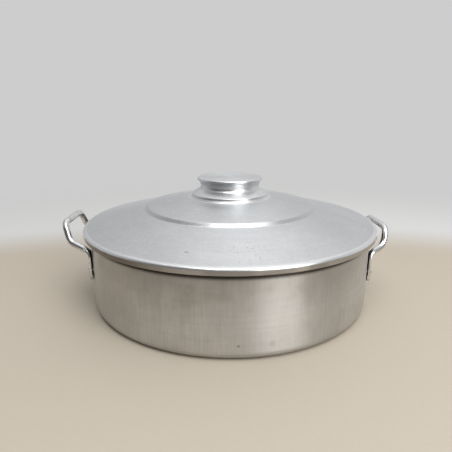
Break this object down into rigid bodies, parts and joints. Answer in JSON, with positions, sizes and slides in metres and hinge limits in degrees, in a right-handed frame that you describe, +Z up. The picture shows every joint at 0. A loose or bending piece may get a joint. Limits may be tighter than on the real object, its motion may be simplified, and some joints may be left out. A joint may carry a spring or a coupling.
{
  "type": "covered pan",
  "caption": "Wide low round aluminium pan with riveted rod loop handles and a stepped conical lid with a spool knob, which lifts straight off.",
  "frame": {"origin": "middle of the underside of the pan's base, on the pan's axis", "axes": "+Z up, along which the lid lifts; +X from the pan's axis to the lower of the handles; -Y the front"},
  "size_m": [0.3112, 0.28, 0.1182],
  "materials": {
    "pan_aluminium": "worn brushed",
    "lid_aluminium": "worn satin",
    "knob_aluminium": "polished, turned",
    "handle_rod": "polished, worn",
    "rivet_aluminium": "satin",
    "screw_steel": "zinc plated"
  },
  "bodies": {
    "pan": {"pan_body": "pan_aluminium", "handle_left": "handle_rod", "handle_right": "handle_rod", "rivets_left": "rivet_aluminium", "rivets_right": "rivet_aluminium"},
    "lid": {"lid_shell": "lid_aluminium", "lid_knob": "knob_aluminium", "knob_screw": "screw_steel", "knob_washer": "screw_steel"}
  },
  "joints": [
    {"name": "lid_lift", "type": "slide", "parent": "pan", "child": "lid", "axis": [0, 0, 1], "range_m": [0, 0.15]}
  ]
}
